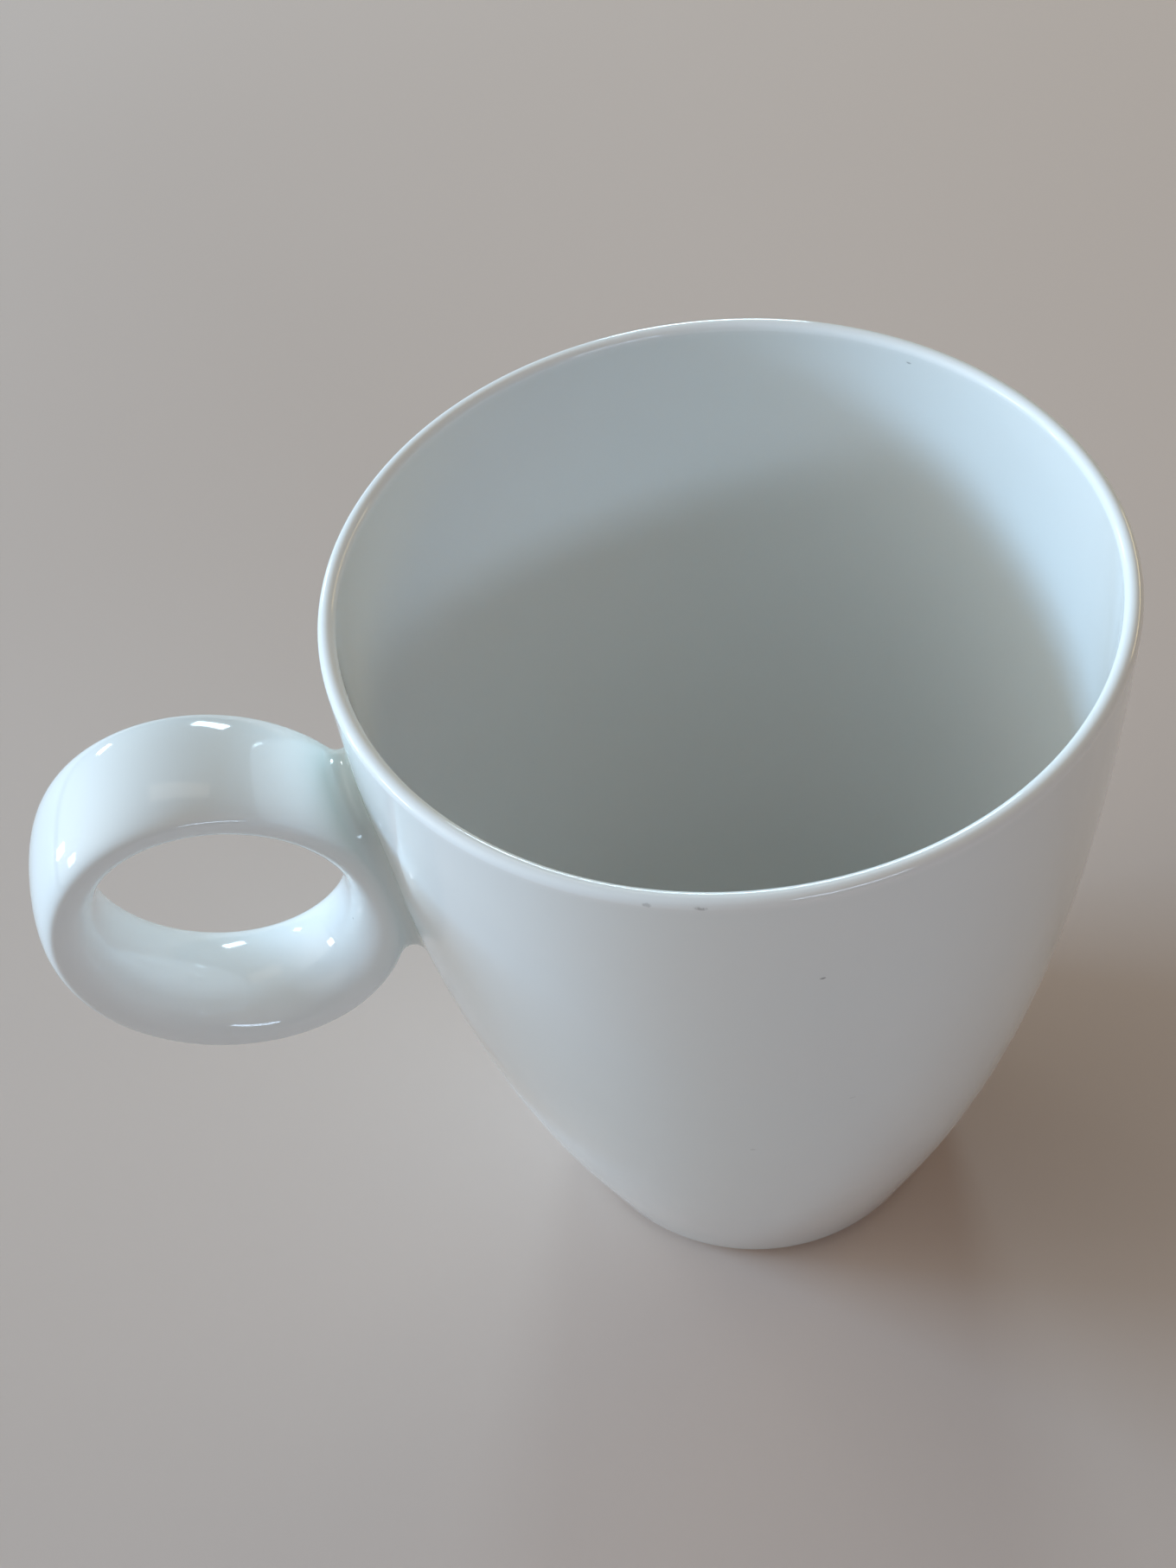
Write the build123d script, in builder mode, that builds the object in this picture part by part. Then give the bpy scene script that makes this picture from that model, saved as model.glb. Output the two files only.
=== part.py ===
"""Porcelain mug with an oval ring handle, as its separate ceramic pieces.

Frame: millimetres, +Z up, origin on the cup's axis in the plane the foot stands on, handle towards -X.

Pieces:
  cup_body           turned porcelain body with its foot ring, before glazing
  ring_handle        oval ring cast on its own and trimmed to the curve of the wall
  handle_slip_joint  slip that sticks the ring on: a thin film, and the bead squeezed out round it
  glaze_coat         fired glass coat over the inside, the lip, the outside, the bead and the ring
  base_glaze         the island of glaze in the recess inside the bare foot ring

Every surface is drawn at an inset: 0 is the glazed surface, glaze_thickness is the bare porcelain under it.
"""
import math
import os

from build123d import *

os.makedirs("parts", exist_ok=True)

# ---- outside of the cup, over the glaze
rim_radius = 41.0
cup_height = 102.5
lip_thickness = 1.85
foot_radius = 24.2              # outer edge of the flat that the mug stands on
foot_corner_radius = 1.4
foot_wall_angle = 73.7          # slope of the wall just above the foot, in degrees from level
foot_wall_pull = 17.3           # how far the wall keeps that slope
rim_wall_angle = 90.5           # slope of the wall at the lip
rim_wall_pull = 56.0

# ---- inside of the cup, over the glaze
floor_height = 6.2              # inside floor on the axis
bowl_height = 27.0              # where the wall turns into the rounded bowl
bowl_radius = 29.7              # inside radius there
bowl_wall_angle = 75.5
bowl_wall_pull = 17.0
bowl_floor_pull = 20.0          # how far the floor stays nearly level
shaft_wall_pull = 22.0          # how far the wall keeps the bowl's slope upwards
shaft_rim_pull = 36.0           # how far the wall below the lip stays upright

# ---- foot
foot_ring_width = 2.6
foot_recess_depth = 2.3
foot_recess_fillet = 1.2

# ---- glaze
glaze_thickness = 0.25
glaze_stop_height = 1.1         # the foot is wiped bare below this height

# ---- oval ring handle, over the glaze
ring_reach = 57.9               # from the cup's axis to the middle of the ring
ring_height = 74.7
ring_lean = 21.6                # degrees that the top of the ring leans away from the cup
ring_seam_radius = 16.9         # half width of the oval that the band's edges follow
ring_oval_ratio = 1.19          # its height over its width
band_half_width = 7.6
band_outer_crown = 2.05         # how far the band bulges outwards past its edges
band_inner_crown = 4.5          # how far the band bulges into the finger hole
band_fullness = 0.60            # 0.55 makes the bulge elliptical, 1.0 makes it square

# ---- joint between the ring and the wall
slip_film = 0.35
slip_bead_radius = 1.6

lip_centre = (rim_radius - lip_thickness / 2, cup_height - lip_thickness / 2)
foot_inner_radius = foot_radius - foot_ring_width

ring_lean_radians = math.radians(ring_lean)
ring_plane = Plane(
    origin=(-ring_reach, 0, ring_height),
    x_dir=(math.cos(ring_lean_radians), 0, math.sin(ring_lean_radians)),
    z_dir=(0, -1, 0),
)
ring_top = ring_plane.from_local_coords((0, ring_seam_radius * ring_oval_ratio, 0))
band_plane = Plane(origin=ring_top, x_dir=ring_plane.y_dir, z_dir=-ring_plane.x_dir)


def step(start, angle, length):
    """The point at a length from start, at an angle in degrees from level."""
    turn = math.radians(angle)
    return (start[0] + length * math.cos(turn), start[1] + length * math.sin(turn))


def outer_wall(inset):
    """Control points of the outer wall, from the foot's corner to the lip."""
    foot_corner = (foot_radius, foot_corner_radius)
    start = step(foot_corner, foot_wall_angle - 90, foot_corner_radius - inset)
    end = (rim_radius - inset, lip_centre[1])
    return (
        start,
        step(start, foot_wall_angle, foot_wall_pull),
        step(end, rim_wall_angle, -rim_wall_pull),
        end,
    )


def foot_corner_arc(wall):
    """The rounded outer corner of the foot, from the flat up into the wall."""
    down_the_wall = (wall[0][0] - wall[1][0], wall[0][1] - wall[1][1])
    TangentArc(wall[0], (foot_radius, 0), tangent=down_the_wall)


def inner_wall(inset):
    """Control points of the inner wall, from the lip down to the start of the bowl."""
    start = (rim_radius - lip_thickness + inset, lip_centre[1])
    end = step((bowl_radius, bowl_height), bowl_wall_angle - 90, inset)
    return (
        start,
        step(start, 90, -shaft_rim_pull),
        step(end, bowl_wall_angle, shaft_wall_pull),
        end,
    )


def bowl(inset):
    """Control points of the rounded bowl, from the wall down to the axis."""
    start = inner_wall(inset)[-1]
    floor = floor_height - inset
    return (start, step(start, bowl_wall_angle, -bowl_wall_pull), (bowl_floor_pull, floor), (0, floor))


def cup_section(inset):
    """Half the cup's section, from its foot round the lip to its inside floor, in its own X and Y."""
    wall = outer_wall(inset)
    shaft = inner_wall(inset)
    rounding = bowl(inset)
    flank = foot_inner_radius + inset
    ceiling = foot_recess_depth + inset
    fillet_radius = foot_recess_fillet + inset
    with BuildSketch() as section:
        with BuildLine():
            Bezier(*wall)
            ThreePointArc(wall[-1], (lip_centre[0], cup_height - inset), shaft[0])
            Bezier(*shaft)
            Bezier(*rounding)
            Polyline(rounding[-1], (0, ceiling), (flank - fillet_radius, ceiling))
            TangentArc((flank - fillet_radius, ceiling), (flank, ceiling - fillet_radius), tangent=(1, 0))
            Polyline((flank, ceiling - fillet_radius), (flank, 0), (foot_radius, 0))
            foot_corner_arc(wall)
        make_face()
    return section.sketch


def cup_form(inset):
    """The cup as if it had no hollow, to trim the handle against."""
    wall = outer_wall(inset)
    with BuildPart() as form:
        with BuildSketch(Plane.XZ):
            with BuildLine():
                Bezier(*wall)
                Polyline(wall[-1], (0, wall[-1][1]), (0, 0), (foot_radius, 0))
                foot_corner_arc(wall)
            make_face()
        revolve(axis=Axis.Z)
    return form.part


def oval_ring(inset):
    """The whole oval ring: a band with a bulged outside and inside, swept round an upright oval."""
    half_width = band_half_width - inset
    with BuildPart() as ring:
        with BuildLine(ring_plane) as seam_oval:
            for start_angle in (90, 270):
                EllipticalCenterArc(
                    (0, 0),
                    ring_seam_radius,
                    ring_seam_radius * ring_oval_ratio,
                    start_angle=start_angle,
                    arc_size=180,
                )
        with BuildSketch(band_plane):
            with BuildLine():
                for bulge in (band_outer_crown - inset, -(band_inner_crown - inset)):
                    for edge in (half_width, -half_width):
                        Bezier(
                            (0, edge),
                            (band_fullness * bulge, edge),
                            (bulge, band_fullness * edge),
                            (bulge, 0),
                        )
            make_face()
        sweep(path=seam_oval.line)
    return ring.part


def handle_with_bead(inset):
    """The ring with the rounded bead at its root, cut off at the surface of the wall."""
    with BuildPart() as handle:
        add(cup_form(inset))
        add(oval_ring(inset))
        near_wall = handle.edges().filter_by_position(Axis.X, -rim_radius, -foot_radius)
        root = near_wall.filter_by_position(Axis.Z, ring_height - ring_seam_radius, ring_height + ring_seam_radius)
        fillet(root, slip_bead_radius + inset)
        add(cup_form(inset), mode=Mode.SUBTRACT)
    return handle.part


with BuildPart() as cup_body:
    with BuildSketch(Plane.XZ):
        add(cup_section(glaze_thickness))
    revolve(axis=Axis.Z)

with BuildPart() as ring_handle:
    add(oval_ring(glaze_thickness))
    add(cup_form(glaze_thickness - slip_film), mode=Mode.SUBTRACT)

with BuildPart() as handle_slip_joint:
    add(handle_with_bead(glaze_thickness))
    add(ring_handle.part, mode=Mode.SUBTRACT)

with BuildSketch(Plane.XZ) as coat_sections:
    add(cup_section(0))
    add(cup_section(glaze_thickness), mode=Mode.SUBTRACT)
    Rectangle(rim_radius, glaze_stop_height, align=(Align.MIN, Align.MIN), mode=Mode.SUBTRACT)
base_section, cup_coat_section = coat_sections.sketch.faces().sort_by(SortBy.AREA)

with BuildPart() as base_glaze:
    add(base_section)
    revolve(axis=Axis.Z)

with BuildPart() as glaze_coat:
    add(cup_coat_section)
    revolve(axis=Axis.Z)
    add(handle_with_bead(0))
    add(handle_with_bead(glaze_thickness), mode=Mode.SUBTRACT)

pieces = {
    "cup_body": cup_body,
    "ring_handle": ring_handle,
    "handle_slip_joint": handle_slip_joint,
    "glaze_coat": glaze_coat,
    "base_glaze": base_glaze,
}
for name, piece in pieces.items():
    piece.part.label = name
    export_step(piece.part, f"parts/{name}.step")
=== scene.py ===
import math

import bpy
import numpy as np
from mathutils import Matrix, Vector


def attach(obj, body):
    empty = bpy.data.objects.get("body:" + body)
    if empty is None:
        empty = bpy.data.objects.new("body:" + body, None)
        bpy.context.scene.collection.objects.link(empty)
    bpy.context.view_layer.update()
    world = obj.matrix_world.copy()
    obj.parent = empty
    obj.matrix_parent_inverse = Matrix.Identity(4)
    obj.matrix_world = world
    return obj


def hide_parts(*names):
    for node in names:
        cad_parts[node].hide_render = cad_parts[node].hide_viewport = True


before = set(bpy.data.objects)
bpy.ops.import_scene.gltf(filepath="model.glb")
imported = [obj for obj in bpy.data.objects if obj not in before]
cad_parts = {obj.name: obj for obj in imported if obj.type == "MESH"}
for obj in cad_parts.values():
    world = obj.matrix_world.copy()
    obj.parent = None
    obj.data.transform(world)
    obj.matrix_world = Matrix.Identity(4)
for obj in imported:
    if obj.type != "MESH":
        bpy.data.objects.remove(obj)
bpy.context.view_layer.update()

# A glazed porcelain mug with an oval ring handle, standing on a pale table by a window.
#
# The CAD frame holds the porcelain body, the ring, the slip joint and the two glaze layers. Here the glaze
# is drawn again as one fine, closed skin: up the outside, over the lip, down into the bowl, and out over the
# bead at the root of the handle and all round the ring, with no seam. Its shape is drawn in millimetres and
# turned into metres when a mesh is made.

MM = 0.001

# ---- the cup's outline, over the glaze
RIM_RADIUS = 41.0
CUP_HEIGHT = 102.5
LIP_THICKNESS = 1.85
FOOT_RADIUS = 24.2
FOOT_CORNER_RADIUS = 1.4
FOOT_WALL_ANGLE = 73.7
FOOT_WALL_PULL = 17.3
RIM_WALL_ANGLE = 90.5
RIM_WALL_PULL = 56.0
FLOOR_HEIGHT = 6.2
BOWL_HEIGHT = 27.0
BOWL_RADIUS = 29.7
BOWL_WALL_ANGLE = 75.5
BOWL_WALL_PULL = 17.0
BOWL_FLOOR_PULL = 20.0
SHAFT_WALL_PULL = 22.0
SHAFT_RIM_PULL = 36.0

# ---- the foot and the glaze on it
FOOT_RING_WIDTH = 2.6
FOOT_RECESS_DEPTH = 2.3
FOOT_RECESS_FILLET = 1.2
GLAZE_THICKNESS = 0.25
GLAZE_STOP_HEIGHT = 1.1

# ---- the oval ring handle and the bead at its root
RING_REACH = 57.9
RING_HEIGHT = 74.7
RING_LEAN = math.radians(21.6)
RING_SEAM_RADIUS = 16.9
RING_OVAL_RATIO = 1.19
BAND_HALF_WIDTH = 7.6
BAND_OUTER_CROWN = 2.05
BAND_INNER_CROWN = 4.5
BAND_FULLNESS = 0.60
SLIP_BEAD_RADIUS = 1.6

# ---- how finely the skin is drawn
CUP_COLUMNS = 184               # quads round the cup
WALL_ROWS = 116                 # quads up the outer wall
LIP_ROWS = 12
SHAFT_ROWS = 56
BOWL_ROWS = 36
RING_COLUMNS = 120              # quads round the ring
BAND_ROWS_PER_QUARTER = 12      # quads in each quarter of the band's section
BEAD_ROWS = 10
PATCH_ROWS = 6                  # quads between the bead and the plain grids round it
PATCH_RING_COLUMNS = 18         # half size of the ring's patch, in its own quads
PATCH_BAND_ROWS = 18
PATCH_WALL_COLUMNS = 10         # half size of the wall's patch
PATCH_WALL_ROWS = PATCH_RING_COLUMNS + PATCH_BAND_ROWS - PATCH_WALL_COLUMNS

# ---- where molten glaze gathers, darkened further there with painted shade
FOOT_POOL_AND_SHADE_HEIGHT = 2.2          # the thicker roll of glaze above the wiped foot
FOOT_POOL_AND_SHADE = 0.6                 # how deep it is there, from 0 to 1
FLOOR_POOL_AND_SHADE = 0.45               # how deep it is on the inside floor

# ---- the edges of the glaze, and the island of it inside the foot
COAT_EDGE_DROP = 0.08           # how far the rounded edge hangs past the last row
BASE_EDGE_DROP = 0.05
BASE_FILLET_ROWS = 12
BASE_CEILING_ROWS = 23

# ---- where the root of the ring is looked for, as angles round the oval
ROOT_SEARCH = np.linspace(-np.pi / 3, np.pi / 3, 241)

# ---- noise: the part of its range that most of its values lie in, and the wider part that nearly all do
NOISE_MIDDLE = (0.35, 0.65)
NOISE_SPAN = (0.3, 0.7)

# ---- glaze; lengths in metres, except where a comment says millimetres
POOL_AND_SHADE_ATTRIBUTE = "glaze_pool_and_shade"
GLAZE_IOR = 1.52
GLAZE_COOL = (0.880, 0.905, 0.897)
GLAZE_WARM = (0.895, 0.905, 0.892)
# thick pooled glaze, made darker than pooling alone as painted shade: in the crease of the bead at the ring's
# root, on the bowl's floor and low on the wall above the table
GLAZE_POOLED_AND_SHADED = (0.720, 0.775, 0.750)
GLAZE_THIN = (0.95, 0.95, 0.94)
THINNING_HEIGHTS = (0.1008, 0.1022)     # between these heights the glaze thins out over the lip
THINNING = 0.8
TINT_WAVELENGTH = 0.045
GLAZE_ROUGHNESS = (0.045, 0.10)
GLOSS_WAVELENGTH = 0.012
WAVE_LENGTH = 0.017             # slow waves in the surface
WAVE_HEIGHT = 0.000030
PEEL_LENGTH = 0.0022            # fine orange peel
PEEL_HEIGHT = 0.0000012
PINHOLE_SPACING = 0.009
PINHOLE_SHARE = 0.35
PINHOLE_RADIUS = 0.00014
PINHOLE_DEPTH = 0.000008
PINHOLE_DARKNESS = 0.5
EDGE_SOFTNESS = (1.4, 0.6)      # where a pinhole's edge starts and ends, in radii
SPECK_COLOUR = (0.16, 0.15, 0.15)
SPECK_SQUASH = (1, 1, 2.2)      # iron specks are flatter than they are wide
SPECK_CORE = 0.3                # share of a speck's half width that is fully dark
RAGGED_WAVELENGTH = 0.0006
RAGGED_REACH = 0.18             # how far a speck's outline strays, in millimetres
SPECKS = (                      # place and half width in millimetres, and strength
    ((-18.45, -36.60, 101.88), 0.55, 0.30),
    ((-14.10, -38.47, 101.82), 0.58, 0.52),
    ((-3.9, -40.7, 89.1), 0.46, 0.60),
    ((-0.2, -39.3, 62.7), 0.44, 0.22),
    ((-10.3, -36.6, 52.6), 0.40, 0.25),
    ((29.8, 25.4, 100.6), 0.40, 0.50),
)

# ---- bare clay and the table; lengths in metres
CLAY_IOR = 1.5
BISQUE_COLOUR = (0.82, 0.79, 0.74)
SLIP_COLOUR = (0.80, 0.78, 0.74)
STAIN_COLOUR = (0.34, 0.29, 0.24)
BISQUE_GRAIN_HEIGHT = 0.000012
SLIP_GRAIN_HEIGHT = 0.000020
CLAY_ROUGHNESS = (0.62, 0.9)
GRAIN_LENGTH = 0.0004
GRAIN_PEAKS = (0.62, 0.75)      # the highest grains, which hold some stain
GRAIN_STAIN = 0.35
MOTTLE_LENGTH = 0.006
MOTTLE_SPAN = (0.35, 0.7)
MOTTLE_SHADE = 0.93
WORN_HEIGHT = 0.0009            # below this the foot rubs on the table
WORN_SPAN = (0.4, 0.6)
WORN_STAIN = (0.08, 0.32)
TABLE_IOR = 1.4
TABLE_COLOUR = (0.59, 0.48, 0.42)
TABLE_COLOUR_AWAY = (0.60, 0.49, 0.43)
TABLE_GLOSS = 0.05
TABLE_TINT_LENGTH = 0.25
TABLE_ROUGHNESS = (0.78, 0.82)
TABLE_ROUGHNESS_LENGTH = 0.03
TABLE_TOOTH_LENGTH = 0.0015
TABLE_TOOTH_HEIGHT = 0.000015

# ---- stage; metres and degrees, azimuths from +X about +Z
TABLE_SIZE = 60.0
BACKDROP = (0.50, 0.50, 0.49)   # what the camera sees past the table
ROOM_GLOW = (0.005, 0.005, 0.005)
SKY_FOCUS = 5.0                 # how quickly each broad glow fades away from its middle
SKY_GLOWS = (                   # azimuth, elevation and colour of the broad soft glows round the room
    (160, 25, (1.95, 2.06, 2.03)),
    (300, 42, (0.40, 0.26, 0.16)),
)
LAMP_TARGET = Vector((0, 0, 0.06))
LAMP_DISTANCE = 1.2
SOFT_BOXES = (                  # name, azimuth, elevation, size, watts, colour, whether the gloss shows it
    ("window_left", 168, 15, (0.22, 0.14), 1.3, (0.60, 0.80, 1.0), True),
    ("window_left_far", 154, 20, (0.44, 0.15), 9.0, (0.37, 0.67, 1.0), False),
    ("window_front", 280, 20, (0.54, 0.12), 2.5, (0.58, 0.78, 1.0), True),
    ("window_behind", 75, 18, (0.26, 0.14), 3.6, (0.62, 0.86, 1.0), True),
    ("wall_right", 20, 16, (0.60, 0.20), 1.5, (1.0, 0.80, 0.40), True),
    ("ceiling_low", 82, 50, (0.70, 0.25), 0.85, (0.90, 1.0, 0.90), False),
    ("ceiling_high", 82, 65, (0.70, 0.25), 0.55, (1.0, 0.90, 0.75), True),
    ("pane_left", 153, 4, (0.10, 0.15), 0.8, (0.85, 0.95, 1.0), True),
    ("pane_behind_left", 118, 14, (0.14, 0.10), 0.5, (0.85, 0.95, 1.0), True),
)

# ---- camera, worked out from the mug's outline; millimetres for the sensor and the lens, metres and degrees
SENSOR_SIZE = 36.0
CAMERA_LENS = 42.668
CAMERA_AZIMUTH = -98.0229
CAMERA_ELEVATION = 50.4976
CAMERA_ROLL = math.radians(-9.1128)
CAMERA_PIVOT = Vector((0, 0, 0.05124))
CAMERA_OFFSET = Vector((-0.01843, 0.01075, 0.22547))    # from the pivot, to the camera's right, up and back


# ---------------------------------------------------------------- curves

def step(start, angle, length):
    """The point at a length from start, at an angle in radians from level."""
    return np.array([start[0] + length * math.cos(angle), start[1] + length * math.sin(angle)])


def bezier(points, u):
    """Point and direction of a cubic Bezier curve at each u."""
    a, b, c, d = (np.asarray(p, float) for p in points)
    u = np.atleast_1d(np.asarray(u, float))[:, None]
    v = 1 - u
    place = v**3 * a + 3 * v * v * u * b + 3 * v * u * u * c + u**3 * d
    along = v * v * (b - a) + 2 * v * u * (c - b) + u * u * (d - c)
    return place, along / np.linalg.norm(along, axis=1, keepdims=True)


def left_of(along):
    """Unit normals to the left of each direction."""
    return np.stack([-along[:, 1], along[:, 0]], axis=1)


lip_centre = np.array([RIM_RADIUS - LIP_THICKNESS / 2, CUP_HEIGHT - LIP_THICKNESS / 2])
foot_angle = math.radians(FOOT_WALL_ANGLE)
rim_angle = math.radians(RIM_WALL_ANGLE)
bowl_angle = math.radians(BOWL_WALL_ANGLE)

wall_start = step((FOOT_RADIUS, FOOT_CORNER_RADIUS), foot_angle - math.pi / 2, FOOT_CORNER_RADIUS)
wall_end = np.array([RIM_RADIUS, lip_centre[1]])
WALL_CURVE = (
    wall_start,
    step(wall_start, foot_angle, FOOT_WALL_PULL),
    step(wall_end, rim_angle, -RIM_WALL_PULL),
    wall_end,
)
shaft_start = np.array([RIM_RADIUS - LIP_THICKNESS, lip_centre[1]])
bowl_start = np.array([BOWL_RADIUS, BOWL_HEIGHT])
SHAFT_CURVE = (
    shaft_start,
    step(shaft_start, math.pi / 2, -SHAFT_RIM_PULL),
    step(bowl_start, bowl_angle, SHAFT_WALL_PULL),
    bowl_start,
)
BOWL_CURVE = (
    bowl_start,
    step(bowl_start, bowl_angle, -BOWL_WALL_PULL),
    np.array([BOWL_FLOOR_PULL, FLOOR_HEIGHT]),
    np.array([0.0, FLOOR_HEIGHT]),
)


def solve(function, low, high, rounds=60):
    """Where a rising function crosses zero between low and high, for arrays of both."""
    low, high = np.array(low, float), np.array(high, float)
    for _ in range(rounds):
        middle = (low + high) / 2
        below = function(middle) < 0
        low = np.where(below, middle, low)
        high = np.where(below, high, middle)
    return (low + high) / 2


def wall_u_at(height):
    """The wall curve's parameter at each height."""
    height = np.atleast_1d(np.asarray(height, float))

    def past(u):
        return bezier(WALL_CURVE, u)[0][:, 1] - height

    return solve(past, np.zeros(len(height)), np.ones(len(height)))


def wall_point(azimuth, height):
    """Point and outward normal on the outer wall, at an azimuth about +Z and a height."""
    azimuth, height = np.broadcast_arrays(np.atleast_1d(azimuth), np.atleast_1d(height))
    place, along = bezier(WALL_CURVE, wall_u_at(height))
    return turned(place, -left_of(along), azimuth)


def turned(outline, normals, azimuth):
    """Outline points and normals, in radius and height, turned about the cup's axis to each azimuth."""
    c, s = np.cos(azimuth), np.sin(azimuth)
    place = np.stack([outline[:, 0] * c, outline[:, 0] * s, outline[:, 1]], axis=1)
    normal = np.stack([normals[:, 0] * c, normals[:, 0] * s, normals[:, 1]], axis=1)
    return place, normal


def wall_below(place):
    """Foot of the perpendicular from each point to the outer wall: azimuth, height, normal and distance."""
    azimuth = np.arctan2(place[:, 1], place[:, 0])
    flat = np.stack([np.hypot(place[:, 0], place[:, 1]), place[:, 2]], axis=1)

    def past(u):
        on_wall, along = bezier(WALL_CURVE, u)
        return ((on_wall - flat) * along).sum(axis=1)

    u = solve(past, np.zeros(len(flat)), np.ones(len(flat)))
    on_wall, along = bezier(WALL_CURVE, u)
    normals = -left_of(along)
    distance = ((flat - on_wall) * normals).sum(axis=1)
    return azimuth, on_wall[:, 1], turned(on_wall, normals, azimuth)[1], distance


# ---------------------------------------------------------------- the ring

def band_quarter(bulge, edge):
    """Control points of a quarter of the band's section, from the crown's middle to the band's edge."""
    return [(bulge, 0), (bulge, BAND_FULLNESS * edge), (BAND_FULLNESS * bulge, edge), (0, edge)]


BAND_SECTION = np.array([
    band_quarter(BAND_OUTER_CROWN, BAND_HALF_WIDTH),
    band_quarter(-BAND_INNER_CROWN, BAND_HALF_WIDTH)[::-1],
    band_quarter(-BAND_INNER_CROWN, -BAND_HALF_WIDTH),
    band_quarter(BAND_OUTER_CROWN, -BAND_HALF_WIDTH)[::-1],
])


def ring_point(theta, phi):
    """Point and outward normal on the ring: theta goes round the oval, phi round its section, 4 to a turn."""
    theta, phi = np.broadcast_arrays(np.atleast_1d(theta).astype(float), np.atleast_1d(phi).astype(float))
    phi = np.mod(phi, 4.0)
    quarter = np.minimum(phi.astype(int), 3)
    u = (phi - quarter)[:, None]
    v = 1 - u
    a, b, c, d = (BAND_SECTION[quarter, i] for i in range(4))
    section = v**3 * a + 3 * v * v * u * b + 3 * v * u * u * c + u**3 * d
    along = v * v * (b - a) + 2 * v * u * (c - b) + u * u * (d - c)
    along /= np.linalg.norm(along, axis=1, keepdims=True)
    section_normal = -left_of(along)

    long_radius = RING_SEAM_RADIUS * RING_OVAL_RATIO
    c, s = np.cos(theta), np.sin(theta)
    seam = np.stack([RING_SEAM_RADIUS * c, long_radius * s], axis=1)
    outward = np.stack([long_radius * c, RING_SEAM_RADIUS * s], axis=1)
    outward /= np.linalg.norm(outward, axis=1, keepdims=True)
    in_ring = seam + section[:, :1] * outward
    normal_in_ring = section_normal[:, :1] * outward
    return (
        leaned(in_ring, section[:, 1]) + np.array([-RING_REACH, 0, RING_HEIGHT]),
        leaned(normal_in_ring, section_normal[:, 1]),
    )


def leaned(in_ring, across):
    """From the ring's own plane, x towards the cup and y up the oval, to the cup's frame."""
    c, s = math.cos(RING_LEAN), math.sin(RING_LEAN)
    x, z = in_ring[:, 0], in_ring[:, 1]
    return np.stack([x * c - z * s, across, x * s + z * c], axis=1)


# ---------------------------------------------------------------- one closed skin of glaze

class Skin:
    """Points, normals, pooled glaze and painted shade, and faces of a surface, gathered grid by grid."""

    def __init__(self):
        self.places = np.zeros((0, 3))
        self.normals = np.zeros((0, 3))
        self.pool_and_shade = np.zeros(0)
        self.faces = []

    def add(self, place, normal, pool_and_shade=0.0):
        """Adds points, with how far glaze has pooled on them and how much painted shade they take, from 0 to
        1, and returns their numbers.
        """
        first = len(self.places)
        self.places = np.vstack([self.places, place])
        self.normals = np.vstack([self.normals, normal])
        self.pool_and_shade = np.append(self.pool_and_shade, np.full(len(place), pool_and_shade))
        return np.arange(first, first + len(place))

    def bridge(self, one, other, skip=None):
        """Quads between two closed rows of point numbers of the same length."""
        for i in range(len(one)):
            if skip is None or not skip(i):
                j = (i + 1) % len(one)
                self.faces.append((one[i], one[j], other[j], other[i]))

    def fan(self, row, tip):
        """Triangles from a closed row of point numbers to one point."""
        for i in range(len(row)):
            self.faces.append((row[i], row[(i + 1) % len(row)], tip))

    def thicken(self, thickness, open_row, edge_drop):
        """Closes the skin into a shell, with a copy sunk along the normals and an edge round the open row."""
        count = len(self.places)
        outer_faces = list(self.faces)
        self.add(self.places - thickness * self.normals, -self.normals)
        self.faces += [tuple(reversed([i + count for i in face])) for face in outer_faces]
        place = self.places[open_row] - thickness / 2 * self.normals[open_row] - edge_drop
        edge = self.add(place, np.tile(-edge_drop / np.linalg.norm(edge_drop), (len(place), 1)))
        self.bridge(open_row, edge)
        self.bridge(edge, open_row + count)

    def mesh_object(self, name):
        """A smooth mesh object of the faces, all turned outwards, with the exact normals of the curves."""
        used, numbers = np.unique(np.concatenate([np.array(f) for f in self.faces]), return_inverse=True)
        places, normals = self.places[used], self.normals[used]
        faces, start = [], 0
        for face in self.faces:
            corners = numbers[start:start + len(face)]
            start += len(face)
            p = places[corners]
            turn = np.cross(p[1] - p[0], p[2] - p[0]) + np.cross(p[2] - p[0], p[-1] - p[0])
            outwards = turn @ normals[corners].sum(axis=0) > 0
            faces.append([int(i) for i in (corners if outwards else corners[::-1])])
        mesh = bpy.data.meshes.new(name)
        mesh.from_pydata((places * MM).tolist(), [], faces)
        mesh.shade_smooth()
        mesh.normals_split_custom_set_from_vertices(normals.tolist())
        mesh.attributes.new(POOL_AND_SHADE_ATTRIBUTE, "FLOAT", "POINT").data.foreach_set("value", self.pool_and_shade[used])
        piece = bpy.data.objects.new(name, mesh)
        bpy.context.scene.collection.objects.link(piece)
        return piece


def rectangle_walk(half_a, half_b):
    """Whole-number steps round a rectangle's edge, from the middle of its +a side towards +b."""
    corners = [
        (half_a, 0),
        (half_a, half_b),
        (-half_a, half_b),
        (-half_a, -half_b),
        (half_a, -half_b),
        (half_a, 0),
    ]
    walk = []
    for (a0, b0), (a1, b1) in zip(corners, corners[1:]):
        count = abs(a1 - a0) + abs(b1 - b0)
        walk += [(a0 + (a1 - a0) * i // count, b0 + (b1 - b0) * i // count) for i in range(count)]
    return np.array(walk)


def root_gap(theta, phi):
    """How far a ball resting on the ring at theta, phi stays off the wall; below zero it cuts in."""
    place, normal = ring_point(theta, phi)
    return wall_below(place + SLIP_BEAD_RADIUS * normal)[3] - SLIP_BEAD_RADIUS


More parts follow.
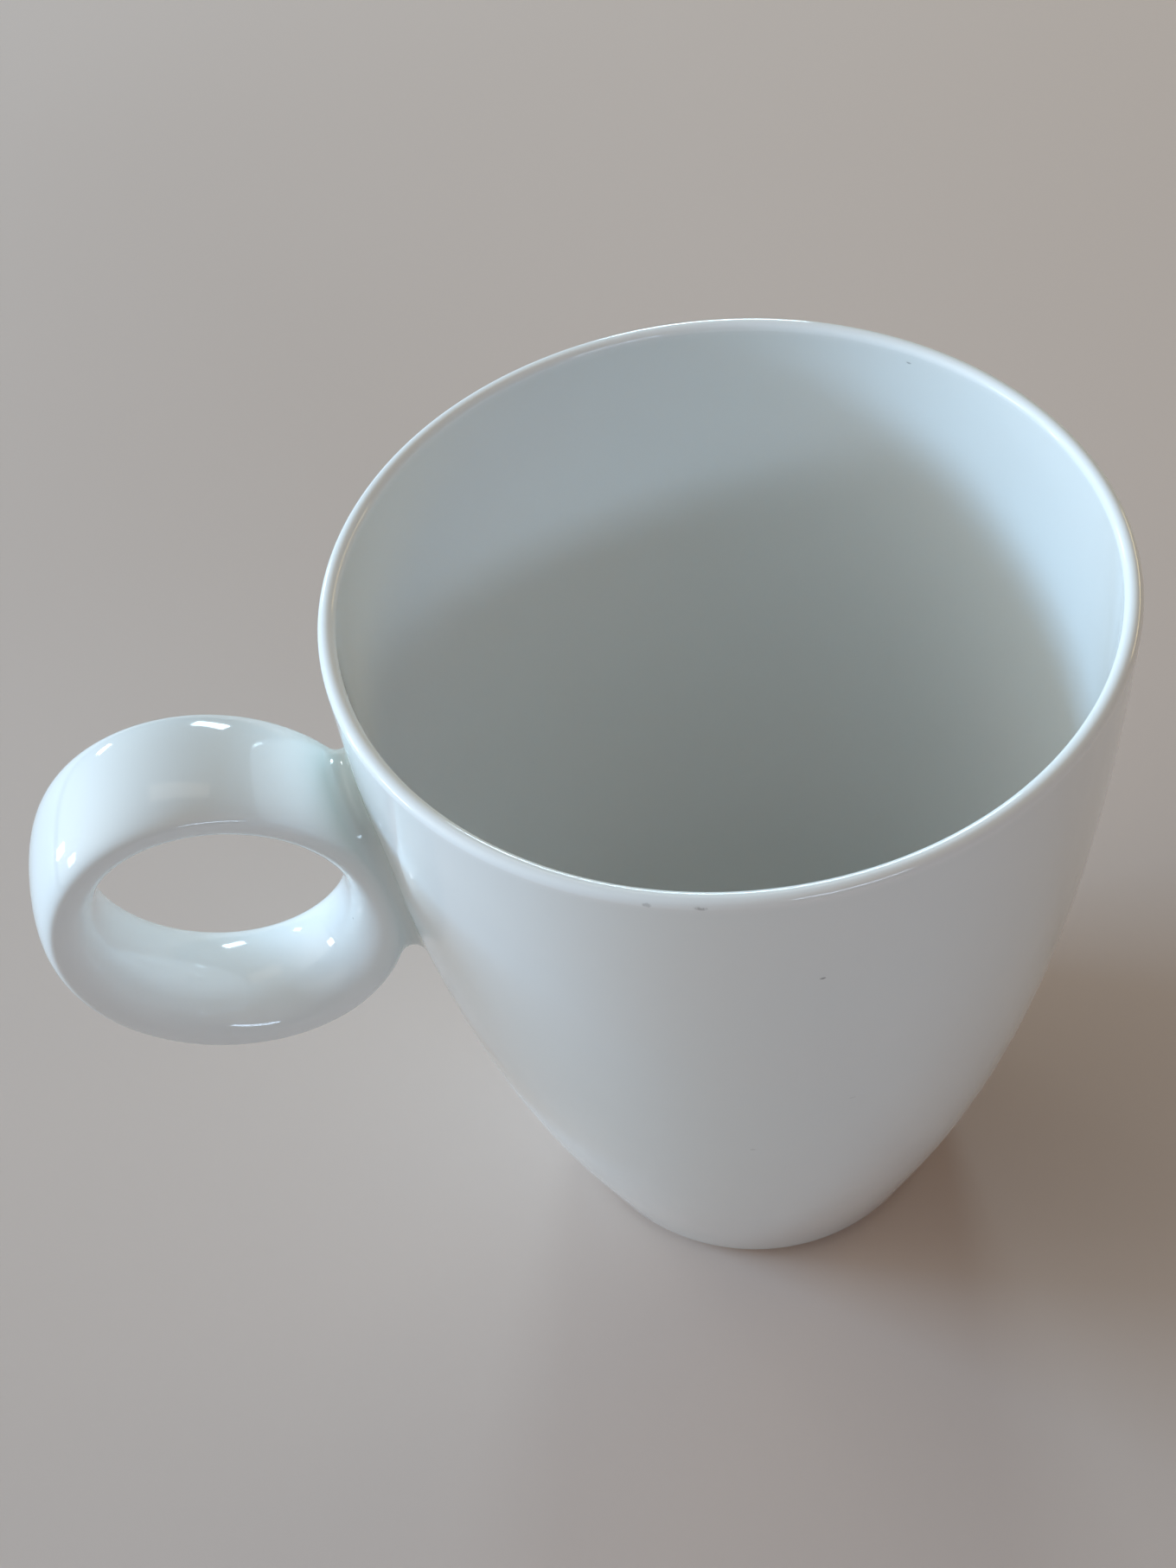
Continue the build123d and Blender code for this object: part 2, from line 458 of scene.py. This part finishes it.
def revolve_rows(skin, outline, normals, pool_and_shade=None):
    """A grid of point numbers, one row for each outline point, turned round the cup."""
    azimuth = np.linspace(0, 2 * np.pi, CUP_COLUMNS, endpoint=False)
    rows = []
    for i, (place, normal) in enumerate(zip(outline, normals)):
        around = np.repeat(place[None], CUP_COLUMNS, axis=0), np.repeat(normal[None], CUP_COLUMNS, axis=0)
        rows.append(skin.add(*turned(*around, azimuth), 0.0 if pool_and_shade is None else pool_and_shade[i]))
    return np.array(rows)


def add_cup(skin, middle_height):
    """The cup's grid, open in a rectangle round the handle; returns the wall's rows and the open middle."""
    heights = np.linspace(GLAZE_STOP_HEIGHT, wall_end[1], WALL_ROWS + 1)
    wall, along = bezier(WALL_CURVE, wall_u_at(heights))
    # glaze pools above the wiped foot; the same share lays painted shade low on the wall by the table
    pooled_and_shaded_at_foot = FOOT_POOL_AND_SHADE * np.clip(1 - (heights - GLAZE_STOP_HEIGHT) / FOOT_POOL_AND_SHADE_HEIGHT, 0, 1)
    grid = revolve_rows(skin, wall, -left_of(along), pooled_and_shaded_at_foot)
    middle_row = int(np.argmin(np.abs(wall[:, 1] - middle_height)))
    middle_column = CUP_COLUMNS // 2
    open_rows = range(middle_row - PATCH_WALL_ROWS, middle_row + PATCH_WALL_ROWS)
    open_columns = range(middle_column - PATCH_WALL_COLUMNS, middle_column + PATCH_WALL_COLUMNS)
    for row in range(WALL_ROWS):
        skin.bridge(grid[row], grid[row + 1], skip=lambda i: row in open_rows and i in open_columns)

    turn = np.linspace(0, np.pi, LIP_ROWS + 1)[1:]
    around_lip = np.stack([np.cos(turn), np.sin(turn)], axis=1)
    shaft, shaft_along = bezier(SHAFT_CURVE, np.linspace(0, 1, SHAFT_ROWS + 1)[1:])
    bowl, bowl_along = bezier(BOWL_CURVE, np.linspace(0, 1, BOWL_ROWS + 1)[1:])
    outline = np.vstack([lip_centre + LIP_THICKNESS / 2 * around_lip, shaft, bowl[:-1]])
    normals = np.vstack([around_lip, -left_of(shaft_along), -left_of(bowl_along[:-1])])
    up_the_bowl = (outline[:, 1] - FLOOR_HEIGHT) / (BOWL_HEIGHT - FLOOR_HEIGHT)
    # glaze pools on the bowl's floor; the same share lays painted shade there
    pooled_and_shaded_in_bowl = FLOOR_POOL_AND_SHADE * np.clip(1 - up_the_bowl, 0, 1)
    rows = [grid[-1], *revolve_rows(skin, outline, normals, pooled_and_shaded_in_bowl)]
    for one, other in zip(rows, rows[1:]):
        skin.bridge(one, other)
    tip = skin.add(np.array([[0, 0, FLOOR_HEIGHT]]), np.array([[0, 0, 1.0]]), FLOOR_POOL_AND_SHADE)
    skin.fan(rows[-1], tip[0])
    return grid, wall[:, 1], middle_row, middle_column


def add_ring(skin, middle_theta):
    """The ring's grid, with a rectangle left open where it meets the wall."""
    rows = 4 * BAND_ROWS_PER_QUARTER
    phi = np.arange(rows) / BAND_ROWS_PER_QUARTER
    grid = []
    for column in range(RING_COLUMNS):
        grid.append(skin.add(*ring_point(middle_theta + column * 2 * np.pi / RING_COLUMNS, phi)))
    grid = np.array(grid)
    for column in range(RING_COLUMNS):
        from_middle = min(column, RING_COLUMNS - 1 - column)
        in_columns = from_middle < PATCH_RING_COLUMNS
        skin.bridge(
            grid[column],
            grid[(column + 1) % RING_COLUMNS],
            skip=lambda i: in_columns and (i < PATCH_BAND_ROWS or i >= rows - PATCH_BAND_ROWS),
        )
    return grid


def add_bead(skin, wall_grid, wall_heights, middle_row, middle_column, ring_grid, middle_theta):
    """The rounded bead at the ring's root, and the patches that carry it into the two grids."""
    on_ring = rectangle_walk(PATCH_RING_COLUMNS, PATCH_BAND_ROWS)
    reach = on_ring * np.array([2 * np.pi / RING_COLUMNS, 1 / BAND_ROWS_PER_QUARTER])
    zero, one = np.zeros(len(reach)), np.ones(len(reach))
    share = solve(lambda t: root_gap(middle_theta + t * reach[:, 0], t * reach[:, 1]), zero, one)
    ring_edge = ring_grid[on_ring[:, 0] % RING_COLUMNS, on_ring[:, 1] % ring_grid.shape[1]]
    rows = [ring_edge]
    for i in range(1, PATCH_ROWS):
        t = share + (1 - share) * (1 - i / PATCH_ROWS)
        on_patch = ring_point(middle_theta + t * reach[:, 0], t * reach[:, 1])
        rows.append(skin.add(*on_patch, (i / PATCH_ROWS)**2))

    touch, ring_normal = ring_point(middle_theta + share * reach[:, 0], share * reach[:, 1])
    ball = touch + SLIP_BEAD_RADIUS * ring_normal
    azimuth, height, wall_normal, _ = wall_below(ball)
    angle = np.arccos(np.clip((ring_normal * wall_normal).sum(axis=1), -1, 1))[:, None]
    # the bead takes the full pooled colour: glaze gathered in the crease, with painted shade there
    for i in range(BEAD_ROWS + 1):
        s = i / BEAD_ROWS
        normal = (np.sin((1 - s) * angle) * ring_normal + np.sin(s * angle) * wall_normal) / np.sin(angle)
        rows.append(skin.add(ball - SLIP_BEAD_RADIUS * normal, normal, 1.0))

    on_wall = rectangle_walk(PATCH_WALL_ROWS, PATCH_WALL_COLUMNS)
    edge_rows = middle_row + on_wall[:, 0]
    edge_columns = middle_column - on_wall[:, 1]
    azimuth = np.mod(azimuth, 2 * np.pi)
    edge_azimuth = edge_columns * 2 * np.pi / CUP_COLUMNS
    for i in range(1, PATCH_ROWS):
        t = i / PATCH_ROWS
        on_patch = wall_point(
            (1 - t) * azimuth + t * edge_azimuth,
            (1 - t) * height + t * wall_heights[edge_rows],
        )
        rows.append(skin.add(*on_patch, (1 - t)**3))
    rows.append(wall_grid[edge_rows, edge_columns])
    for one_row, other_row in zip(rows, rows[1:]):
        skin.bridge(one_row, other_row)


def glaze_skin():
    """The whole glaze coat as one closed shell."""
    deepest = int(np.argmin(root_gap(ROOT_SEARCH, np.zeros(len(ROOT_SEARCH)))))
    middle_theta = ROOT_SEARCH[deepest]
    middle_height = ring_point(middle_theta, 0.0)[0][0, 2]
    skin = Skin()
    wall_grid, wall_heights, middle_row, middle_column = add_cup(skin, middle_height)
    ring_grid = add_ring(skin, middle_theta)
    add_bead(skin, wall_grid, wall_heights, middle_row, middle_column, ring_grid, middle_theta)
    skin.thicken(GLAZE_THICKNESS, wall_grid[0], np.array([0, 0, COAT_EDGE_DROP]))
    return skin.mesh_object("glaze_skin")


def base_glaze_skin():
    """The island of glaze in the recess of the foot, as a closed shell."""
    flank = FOOT_RADIUS - FOOT_RING_WIDTH
    turn = np.linspace(0, np.pi / 2, BASE_FILLET_ROWS + 1)
    spokes = np.stack([np.cos(turn), np.sin(turn)], axis=1)
    fillet_centre = np.array([flank - FOOT_RECESS_FILLET, FOOT_RECESS_DEPTH - FOOT_RECESS_FILLET])
    ceiling_radii = np.linspace(fillet_centre[0], 0, BASE_CEILING_ROWS + 1)[1:-1]
    ceiling = np.stack([ceiling_radii, np.full(len(ceiling_radii), FOOT_RECESS_DEPTH)], axis=1)
    outline = np.vstack([fillet_centre + FOOT_RECESS_FILLET * spokes, ceiling])
    normals = np.vstack([-spokes, np.tile([0.0, -1.0], (len(ceiling), 1))])
    skin = Skin()
    rows = revolve_rows(skin, outline, normals)
    for one, other in zip(rows, rows[1:]):
        skin.bridge(one, other)
    tip = skin.add(np.array([[0, 0, FOOT_RECESS_DEPTH]]), np.array([[0, 0, -1.0]]))
    skin.fan(rows[-1], tip[0])
    skin.thicken(GLAZE_THICKNESS, rows[0], np.array([0, 0, BASE_EDGE_DROP]))
    return skin.mesh_object("base_glaze_skin")


# ---------------------------------------------------------------- materials

MIX_COLOUR_INPUTS = (0, 6, 7)   # a Mix node's factor and its two colours, by number because names repeat
MIX_COLOUR_OUTPUT = 2


class Finish:
    """A procedural material: a Principled shader and the nodes that feed it, in object space."""

    def __init__(self, name, ior):
        self.material = bpy.data.materials.new(name)
        self.material.use_nodes = True
        self.tree = self.material.node_tree
        self.shader = self.tree.nodes["Principled BSDF"]
        self.shader.inputs["IOR"].default_value = ior
        self.place = self.node("ShaderNodeTexCoord").outputs["Object"]

    def node(self, kind, inputs=None, **settings):
        """A node with its settings, and its inputs linked or set."""
        made = self.tree.nodes.new(kind)
        for key, value in settings.items():
            setattr(made, key, value)
        for key, value in (inputs or {}).items():
            self.feed(made.inputs[key], value)
        return made

    def feed(self, socket, value):
        """Links a socket to the value's socket, or sets it to the value."""
        if isinstance(value, bpy.types.NodeSocket):
            self.tree.links.new(value, socket)
        else:
            socket.default_value = value

    def math(self, operation, first, second):
        """The result of a math operation on two values or sockets."""
        return self.node("ShaderNodeMath", {0: first, 1: second}, operation=operation).outputs[0]

    def noise(self, wavelength, detail=2.0, roughness=0.5):
        """Noise from 0 to 1 with features about a wavelength across, in metres."""
        inputs = {"Vector": self.place, "Scale": 1 / wavelength, "Detail": detail, "Roughness": roughness}
        return self.node("ShaderNodeTexNoise", inputs).outputs["Fac"]

    def ramp(self, value, low, high, to_low=0.0, to_high=1.0):
        """The value's place between low and high, smoothly eased and kept inside to_low and to_high."""
        inputs = {"Value": value, "From Min": low, "From Max": high, "To Min": to_low, "To Max": to_high}
        return self.node("ShaderNodeMapRange", inputs, interpolation_type="SMOOTHSTEP").outputs["Result"]

    def blend(self, share, colour, other):
        """A colour, or a socket with one, that turns into another colour as the share rises from 0 to 1."""
        mix = self.node("ShaderNodeMix", data_type="RGBA")
        factor, first, second = (mix.inputs[i] for i in MIX_COLOUR_INPUTS)
        self.feed(factor, share)
        self.feed(first, colour if isinstance(colour, bpy.types.NodeSocket) else (*colour, 1))
        self.feed(second, (*other, 1))
        return mix.outputs[MIX_COLOUR_OUTPUT]

    def height(self):
        """Height above the table, in metres."""
        return self.node("ShaderNodeSeparateXYZ", {0: self.place}).outputs["Z"]

    def near(self, point, squash):
        """Distance in metres from a point given in millimetres, stretched along each axis by the squash."""
        stretched = self.node("ShaderNodeVectorMath", {0: self.place, 1: squash}, operation="MULTIPLY")
        inputs = {0: stretched.outputs["Vector"], 1: tuple(c * s * MM for c, s in zip(point, squash))}
        return self.node("ShaderNodeVectorMath", inputs, operation="DISTANCE").outputs["Value"]

    def surface(self, colour, roughness, relief):
        """Links the colour, the roughness, and the relief in metres, to the shader."""
        self.feed(self.shader.inputs["Base Color"], colour)
        self.feed(self.shader.inputs["Roughness"], roughness)
        bump = self.node("ShaderNodeBump", {"Height": relief, "Distance": 1.0, "Strength": 1.0})
        self.feed(self.shader.inputs["Normal"], bump.outputs["Normal"])
        return self.material


def glaze_finish(name):
    """Clear glaze over white porcelain: faintly green where it pools and darker there with painted shade,
    with iron specks and pinholes.
    """
    finish = Finish(name, GLAZE_IOR)
    colour = finish.blend(finish.ramp(finish.noise(TINT_WAVELENGTH), *NOISE_MIDDLE), GLAZE_COOL, GLAZE_WARM)
    pool_and_shade_share = finish.node("ShaderNodeAttribute", attribute_name=POOL_AND_SHADE_ATTRIBUTE).outputs["Fac"]
    # the pooled colour is partly real thick glaze and partly painted shade
    colour = finish.blend(pool_and_shade_share, colour, GLAZE_POOLED_AND_SHADED)
    thin = finish.math("MULTIPLY", finish.ramp(finish.height(), *THINNING_HEIGHTS), THINNING)
    colour = finish.blend(thin, colour, GLAZE_THIN)

    cells = finish.node("ShaderNodeTexVoronoi", {"Vector": finish.place, "Scale": 1 / PINHOLE_SPACING})
    rare = finish.math("GREATER_THAN", cells.outputs["Color"], 1 - PINHOLE_SHARE)
    reach = PINHOLE_RADIUS / PINHOLE_SPACING
    close = finish.ramp(cells.outputs["Distance"], *(reach * share for share in EDGE_SOFTNESS))
    pinhole = finish.math("MULTIPLY", rare, close)
    colour = finish.blend(finish.math("MULTIPLY", pinhole, PINHOLE_DARKNESS), colour, SPECK_COLOUR)
    stray = RAGGED_REACH * MM
    ragged = finish.ramp(finish.noise(RAGGED_WAVELENGTH, detail=3.0), *NOISE_SPAN, -stray, stray)
    for point, half_width, strength in SPECKS:
        away = finish.math("ADD", finish.near(point, SPECK_SQUASH), ragged)
        speck = finish.ramp(away, half_width * MM, SPECK_CORE * half_width * MM, 0.0, strength)
        colour = finish.blend(speck, colour, SPECK_COLOUR)

    roughness = finish.ramp(finish.noise(GLOSS_WAVELENGTH, detail=4.0), *NOISE_SPAN, *GLAZE_ROUGHNESS)
    waves = finish.math("MULTIPLY", finish.noise(WAVE_LENGTH, detail=1.0), WAVE_HEIGHT)
    peel = finish.math("MULTIPLY", finish.noise(PEEL_LENGTH, detail=1.0), PEEL_HEIGHT)
    relief = finish.math("ADD", waves, peel)
    relief = finish.math("SUBTRACT", relief, finish.math("MULTIPLY", pinhole, PINHOLE_DEPTH))
    return finish.surface(colour, roughness, relief)


def bisque_finish(name, colour, grain_height):
    """Bare fired clay: matt, fine-grained, and greyed by use where it rubs on the table."""
    finish = Finish(name, CLAY_IOR)
    grain = finish.noise(GRAIN_LENGTH, detail=4.0, roughness=0.7)
    mottle = finish.noise(MOTTLE_LENGTH, detail=3.0)
    shaded = tuple(MOTTLE_SHADE * c for c in colour)
    base = finish.blend(finish.ramp(mottle, *MOTTLE_SPAN), colour, shaded)
    base = finish.blend(finish.ramp(grain, *GRAIN_PEAKS, 0.0, GRAIN_STAIN), base, STAIN_COLOUR)
    rubbed = finish.ramp(finish.height(), WORN_HEIGHT, 0.0)
    worn = finish.math("MULTIPLY", rubbed, finish.ramp(mottle, *WORN_SPAN, *WORN_STAIN))
    base = finish.blend(worn, base, STAIN_COLOUR)
    roughness = finish.ramp(grain, *NOISE_SPAN, *CLAY_ROUGHNESS)
    return finish.surface(base, roughness, finish.math("MULTIPLY", grain, grain_height))


def table_finish(name):
    """A plain pale table top with a faint even tooth."""
    finish = Finish(name, TABLE_IOR)
    finish.shader.inputs["Specular IOR Level"].default_value = TABLE_GLOSS
    tint = finish.ramp(finish.noise(TABLE_TINT_LENGTH), *NOISE_SPAN)
    colour = finish.blend(tint, TABLE_COLOUR, TABLE_COLOUR_AWAY)
    roughness = finish.ramp(finish.noise(TABLE_ROUGHNESS_LENGTH), *NOISE_SPAN, *TABLE_ROUGHNESS)
    tooth = finish.math("MULTIPLY", finish.noise(TABLE_TOOTH_LENGTH), TABLE_TOOTH_HEIGHT)
    return finish.surface(colour, roughness, tooth)


# ---------------------------------------------------------------- stage, lights and camera

def add_object(name, data):
    """An object holding the data, linked to the scene."""
    made = bpy.data.objects.new(name, data)
    bpy.context.scene.collection.objects.link(made)
    return made


def direction(azimuth, elevation):
    """Unit vector at an azimuth from +X about +Z and an elevation, both in degrees."""
    turn, rise = math.radians(azimuth), math.radians(elevation)
    return Vector((math.cos(turn) * math.cos(rise), math.sin(turn) * math.cos(rise), math.sin(rise)))


def soft_box(name, azimuth, elevation, size, power, colour, in_gloss):
    """A rectangular lamp that faces the mug from a direction."""
    lamp = bpy.data.lights.new(name, "AREA")
    lamp.shape = "RECTANGLE"
    lamp.size, lamp.size_y = size
    lamp.energy = power
    lamp.color = colour
    towards = direction(azimuth, elevation)
    holder = add_object(name, lamp)
    holder.location = LAMP_TARGET + LAMP_DISTANCE * towards
    holder.rotation_euler = (-towards).to_track_quat("-Z", "Y").to_euler()
    holder.visible_glossy = in_gloss


def lay_table():
    """A wide flat top at the height the foot stands on."""
    half = TABLE_SIZE / 2
    mesh = bpy.data.meshes.new("table_top")
    corners = [(-half, -half, 0), (half, -half, 0), (half, half, 0), (-half, half, 0)]
    mesh.from_pydata(corners, [], [(0, 1, 2, 3)])
    mesh.materials.append(table_finish("table_top"))
    add_object("table_top", mesh)


def glowing_room(glows, even_glow):
    """A world that glows softly from the given directions over an even glow, with a plain backdrop."""
    world = bpy.data.worlds.new("room")
    world.use_nodes = True
    tree = world.node_tree
    aim = tree.nodes.new("ShaderNodeTexCoord").outputs["Generated"]
    total = None
    for azimuth, elevation, colour in glows:
        facing = tree.nodes.new("ShaderNodeVectorMath")
        facing.operation = "DOT_PRODUCT"
        tree.links.new(aim, facing.inputs[0])
        facing.inputs[1].default_value = direction(azimuth, elevation)
        front = tree.nodes.new("ShaderNodeMath")
        front.operation = "MAXIMUM"
        tree.links.new(facing.outputs["Value"], front.inputs[0])
        front.inputs[1].default_value = 0.0
        focused = tree.nodes.new("ShaderNodeMath")
        focused.operation = "POWER"
        tree.links.new(front.outputs[0], focused.inputs[0])
        focused.inputs[1].default_value = SKY_FOCUS
        sum_up = tree.nodes.new("ShaderNodeVectorMath")
        sum_up.operation = "MULTIPLY_ADD"
        tree.links.new(focused.outputs[0], sum_up.inputs[0])
        sum_up.inputs[1].default_value = colour
        if total is None:
            sum_up.inputs[2].default_value = even_glow
        else:
            tree.links.new(total, sum_up.inputs[2])
        total = sum_up.outputs["Vector"]
    glow = tree.nodes["Background"]
    tree.links.new(total, glow.inputs["Color"])
    backdrop = tree.nodes.new("ShaderNodeBackground")
    backdrop.inputs["Color"].default_value = (*BACKDROP, 1)
    seen = tree.nodes.new("ShaderNodeMixShader")
    tree.links.new(tree.nodes.new("ShaderNodeLightPath").outputs["Is Camera Ray"], seen.inputs[0])
    tree.links.new(glow.outputs[0], seen.inputs[1])
    tree.links.new(backdrop.outputs[0], seen.inputs[2])
    tree.links.new(seen.outputs[0], tree.nodes["World Output"].inputs["Surface"])
    bpy.context.scene.world = world


def place_camera():
    """The camera, looking down into the mug from the front with the handle on the left."""
    data = bpy.data.cameras.new("camera")
    data.sensor_width = SENSOR_SIZE
    data.lens = CAMERA_LENS
    camera = add_object("camera", data)
    back = direction(CAMERA_AZIMUTH, CAMERA_ELEVATION)
    level = Vector((0, 0, 1)).cross(back).normalized()
    upright = Matrix((level, back.cross(level), back)).transposed()
    turn = upright @ Matrix.Rotation(CAMERA_ROLL, 3, "Z")
    camera.matrix_world = Matrix.Translation(turn @ CAMERA_OFFSET + CAMERA_PIVOT) @ turn.to_4x4()
    bpy.context.scene.camera = camera


glaze = glaze_skin()
glaze.data.materials.append(glaze_finish("glaze_coat"))
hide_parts("glaze_coat")
base = base_glaze_skin()
base.data.materials.append(glaze_finish("base_glaze"))
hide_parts("base_glaze")
for skin_piece in (glaze, base):
    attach(skin_piece, "root")

node_finishes = {
    "cup_body": bisque_finish("cup_body", BISQUE_COLOUR, BISQUE_GRAIN_HEIGHT),
    "ring_handle": bisque_finish("ring_handle", BISQUE_COLOUR, BISQUE_GRAIN_HEIGHT),
    "handle_slip_joint": bisque_finish("handle_slip_joint", SLIP_COLOUR, SLIP_GRAIN_HEIGHT),
    "glaze_coat": glaze.data.materials[0],
    "base_glaze": base.data.materials[0],
}
for name, finish in node_finishes.items():
    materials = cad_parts[name].data.materials
    materials.clear()
    materials.append(finish)

lay_table()
glowing_room(SKY_GLOWS, ROOM_GLOW)
for box in SOFT_BOXES:
    soft_box(*box)
place_camera()
bpy.context.scene.view_settings.view_transform = "Standard"
